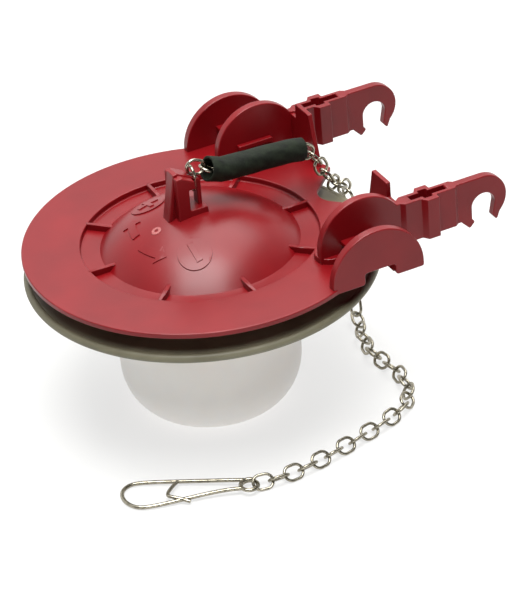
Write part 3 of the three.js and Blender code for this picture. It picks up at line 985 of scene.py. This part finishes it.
# Chain: one oval link of wire, put where each of the frame's links is
def link_tree():
    tree, given = new_tree(
        "wire_links",
        {
            "Length": "NodeSocketFloat",
            "Width": "NodeSocketFloat",
            "Wire": "NodeSocketFloat",
            "Material": "NodeSocketMaterial",
        },
    )
    sides = []
    for across in ("Length", "Width"):
        middle = add_node(
            tree, "ShaderNodeMath", {"operation": "SUBTRACT"}, {0: given[across], 1: given["Wire"]}
        )
        sides.append(middle.outputs["Value"])
    bend = add_node(tree, "ShaderNodeMath", {"operation": "MULTIPLY"}, {0: sides[1], 1: 0.499})
    wire_radius = add_node(
        tree, "ShaderNodeMath", {"operation": "DIVIDE"}, {0: given["Wire"], 1: 2.0}
    )
    oval = add_node(
        tree,
        "GeometryNodeCurvePrimitiveQuadrilateral",
        inputs={"Width": sides[0], "Height": sides[1]},
    )
    soft = add_node(
        tree,
        "GeometryNodeFilletCurve",
        {"mode": "POLY"},
        {"Curve": oval.outputs["Curve"], "Count": 7, "Radius": bend.outputs["Value"]},
    )
    section = add_node(
        tree,
        "GeometryNodeCurvePrimitiveCircle",
        inputs={"Resolution": 10, "Radius": wire_radius.outputs["Value"]},
    )
    wire = add_node(
        tree,
        "GeometryNodeCurveToMesh",
        inputs={"Curve": soft.outputs["Curve"], "Profile Curve": section.outputs["Curve"]},
    )
    put_copies(tree, given, wire.outputs["Mesh"])
    return tree


def node_corners(name):
    """The corners of a CAD node's mesh in metres, each once."""
    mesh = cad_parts[name].data
    corners = np.empty(len(mesh.vertices) * 3)
    mesh.vertices.foreach_get("co", corners)
    return np.unique(corners.reshape(-1, 3).round(7), axis=0)


def oval_place(name):
    """Centre, long axis and flat axis of an oval of wire in the frame, from its own corners."""
    corners = node_corners(name)
    centre = corners.mean(axis=0)
    axes = np.linalg.eigh(np.cov((corners - centre).T))[1]
    return Vector(centre), Vector(axes[:, 2]), Vector(axes[:, 0])


def oval_turn(along, normal):
    """The Euler angles that lay an oval's long side along one axis, and flat across the other."""
    return Matrix((along, normal.cross(along), normal)).transposed().to_euler()


def wire_ovals(name, nodes, length, width, wire, tree):
    places = []
    turns = []
    for node in nodes:
        centre, along, normal = oval_place(node)
        places.append(centre)
        turns.append(oval_turn(along, normal))
    mesh = grown(
        turned_points(places, turns),
        tree,
        {
            "Length": length * MM,
            "Width": width * MM,
            "Wire": wire * MM,
            "Material": NICKEL,
        },
    )
    finish_mesh(name, mesh, NICKEL, "frame_body", nodes, 80)


def chain():
    wire = 0.9
    link_length, link_width = 6.8, 5.2
    ring_length, ring_width = 8.4, 5.6
    tree = link_tree()
    links = sorted(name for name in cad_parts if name.startswith("chain_link_"))
    wire_ovals("chain_links", links, link_length, link_width, wire, tree)
    wire_ovals("chain_ring", ["chain_end_ring"], ring_length, ring_width, wire, tree)


# Sleeve: a foam tube round the chain, along the frame's own sleeve
def sleeve_axis():
    """Points in mm along the middle of the frame's sleeve, from front to rear."""
    stations = 8
    corners = node_corners("chain_sleeve")
    middle = corners.mean(axis=0)
    along = np.linalg.eigh(np.cov((corners - middle).T))[1][:, 2]
    if along[1] < 0:
        along = -along
    ordered = corners[np.argsort((corners - middle) @ along)]
    return [Vector(group.mean(axis=0)) / MM for group in np.array_split(ordered, stations)]


def along_axis(axis, share):
    """Point and direction at a share of the way along the stations."""
    place = min(max(share, 0.0), 1.0) * (len(axis) - 1)
    i = min(int(place), len(axis) - 2)
    t = place - i
    here = axis[i + 1] - axis[i]
    before = axis[i] - axis[i - 1] if i > 0 else here
    after = axis[i + 2] - axis[i + 1] if i + 2 < len(axis) else here
    direction = (before.lerp(here, 0.5)).lerp(here.lerp(after, 0.5), t)
    return axis[i].lerp(axis[i + 1], t), direction.normalized()


def foam_sleeve():
    axis = sleeve_axis()
    length = sum((b - a).length for a, b in zip(axis, axis[1:]))
    outer, bore, edge, soft_edge = 3.7, 3.0, 0.25, 0.07
    taper, wave_depth = 0.25, 0.1
    outer_steps, bore_steps = 30, 8
    up = Vector((0, 0, 1))

    def place(radius, height, angle):
        share = height / length
        centre, direction = along_axis(axis, share)
        side = direction.cross(up).normalized()
        top = side.cross(direction)
        if radius > bore + wave_depth:
            wave = math.sin(5 * angle + 9 * share) * math.sin(14 * share + 2 * angle)
            radius = radius - taper * share + wave_depth * wave
        return centre + side * (radius * math.cos(angle)) + top * (radius * math.sin(angle))

    inside = length - 2 * edge
    profile = [(bore, edge), (bore + edge, 0.0)]
    profile += [(outer - edge, 0.0), (outer - soft_edge, soft_edge)]
    profile += [(outer, edge + inside * i / outer_steps) for i in range(outer_steps + 1)]
    profile += [(outer - soft_edge, length - soft_edge), (outer - edge, length)]
    profile.append((bore + edge, length))
    profile += [(bore, edge + inside * i / bore_steps) for i in range(bore_steps, 0, -1)]
    mesh = turned(profile, 64, place)
    finish_mesh("foam_sleeve", mesh, FOAM, "frame_body", ["chain_sleeve"])


# Clip: one bent wire with an eye in the last link and a keeper that hooks across
def wire_curve(points, wire, smooth=True):
    """A wire of this thickness along points in mm."""
    curve = bpy.data.curves.new("wire", "CURVE")
    curve.dimensions = "3D"
    curve.bevel_depth = wire / 2
    curve.bevel_resolution = 4
    curve.resolution_u = 6
    curve.use_fill_caps = True
    spline = curve.splines.new("NURBS" if smooth else "POLY")
    spline.points.add(len(points) - 1)
    for point, place in zip(spline.points, points):
        point.co = (*place, 1)
    if smooth:
        spline.order_u = 4
        spline.use_endpoint_u = True
    source = temporary("wire", curve)
    source.matrix_world = Matrix.Scale(MM, 4)
    return applied(source)


def wire_clip():
    wire = 1.2
    lying, eye_height = 0.7, 2.07
    eye_radius, coil_start, coil_step, coil_points = 2.5, 215, 15.5, 30
    coil_drop, coil_rise = 0.3, 0.62
    lift = eye_height - lying
    corner = Vector(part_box("chain_clip")[1]) / MM
    eye = Vector((corner.x - eye_radius - wire / 2, corner.y - eye_radius - wire / 2, 0))
    coil = []
    for i in range(coil_points):
        across, along = on_circle(eye_radius, coil_start - coil_step * i)
        height = eye_height - coil_drop + coil_rise * i / (coil_points - 1)
        coil.append((eye.x + across, eye.y + along, height))
    lower = [
        (-19.4, -24.6, 0.1), (-20.6, -28.4, 0), (-18.8, -31.9, 0), (-14.4, -33.2, 0),
        (-9.8, -31.9, 0), (-7.4, -28.6, 0.1), (-4.6, -16, lift * 0.45), (-1.9, -6.4, lift * 0.9),
        (0.2, -2.6, lift),
    ]
    upper = [(-1.9, 1.5, lift), (-3.6, -0.8, lift * 0.95), (-11.5, -12.8, lift * 0.5)]
    keeper = [
        (-13.6, -16.2, lift * 0.45), (-11.9, -18.4, lift * 0.9), (-8.9, -22.3, lift * 0.9),
        (-7.4, -21.6, lift * 0.9), (-5.4, -19.2, lift * 0.7), (-3.2, -17.2, lift * 0.3),
    ]
    loop = [(eye.x + a, eye.y + b, lying + rise) for a, b, rise in upper + lower]
    hook = [(eye.x + a, eye.y + b, lying + rise) for a, b, rise in keeper]
    mesh = joined(
        [wire_curve(coil, wire, False), wire_curve(loop, wire), wire_curve(hook, wire * 0.9)]
    )
    finish_mesh("wire_clip", mesh, NICKEL, "frame_body", ["chain_clip"], 70)


# Stage
def pale_floor():
    build = bmesh.new()
    bmesh.ops.create_grid(build, x_segments=1, y_segments=1, size=3.0)
    mesh = bpy.data.meshes.new("pale_floor")
    build.to_mesh(mesh)
    build.free()
    material = new_material(
        "pale_floor",
        {
            "Base Color": linear(0x8C8C8A),
            "Roughness": 0.9,
            "Specular IOR Level": 0.1,
            "Emission Color": (1.0, 1.0, 1.0, 1.0),
            "Emission Strength": 0.7,
        },
    )[0]
    mesh.materials.append(material)
    floor = temporary("pale_floor", mesh)


def surroundings():
    """White paper behind the part and a dimmer room in front of it."""
    world = bpy.data.worlds.new("studio")
    bpy.context.scene.world = world
    world.use_nodes = True
    tree = world.node_tree
    tree.nodes.clear()
    rays = add_node(tree, "ShaderNodeLightPath")
    place = add_node(tree, "ShaderNodeTexCoord")
    axes = add_node(tree, "ShaderNodeSeparateXYZ", inputs={"Vector": place.outputs["Generated"]})
    mirrored = add_node(
        tree,
        "ShaderNodeMapRange",
        inputs={
            "Value": axes.outputs["X"],
            "From Min": -0.45,
            "From Max": 0.25,
            "To Min": BACKDROP_GLOW,
            "To Max": ROOM_GLOW,
        },
    )
    lit = add_node(
        tree,
        "ShaderNodeMix",
        {"data_type": "FLOAT"},
        {0: rays.outputs["Is Glossy Ray"], 2: AMBIENT_GLOW, 3: mirrored.outputs["Result"]},
    )
    seen = add_node(
        tree,
        "ShaderNodeMath",
        {"operation": "MAXIMUM"},
        {0: rays.outputs["Is Camera Ray"], 1: rays.outputs["Is Transmission Ray"]},
    )
    strength = add_node(
        tree,
        "ShaderNodeMix",
        {"data_type": "FLOAT"},
        {0: seen.outputs["Value"], 2: lit.outputs[0], 3: 1.0},
    )
    white = add_node(
        tree,
        "ShaderNodeBackground",
        inputs={"Color": (1.0, 1.0, 1.0, 1.0), "Strength": strength.outputs[0]},
    )
    add_node(tree, "ShaderNodeOutputWorld", inputs={"Surface": white.outputs["Background"]})


def lamps():
    """Two soft lamps over the part, and a low strip that lights the cup under the disc."""
    disc, cup = (0, 0, 0.05), (0, 0, 0.03)
    area_light("overhead_softbox", (0.22, -0.12, 0.93), disc, size=(0.6, 0.5), watts=11.5)
    area_light("rear_softbox", (-0.25, 0.2, 1.0), disc, size=(1.0, 1.0), watts=14.0)
    area_light("low_strip", (0.42, -0.19, 0.012), cup, size=(0.4, 0.02), watts=0.27)


photo_camera()
pale_floor()
surroundings()
lamps()

RED = moulded_polypropylene()
# The gate mark's paler red is a painted highlight
GATE_GLINT_RED = painted_highlight_polypropylene()
RUBBER = thermoplastic_rubber()
FROSTED = natural_polypropylene()
NICKEL = nickel_plate()
FOAM = foam_rubber()

disc_rim()
dome_shell()
dome_ribs()
dome_signs()
gate_mark()
arm("near_arm", 1)
arm("far_arm", -1)
chain_post()
seal_skirt()
cup_wall()
chain()
foam_sleeve()
wire_clip()

bpy.context.scene.view_settings.view_transform = "Standard"
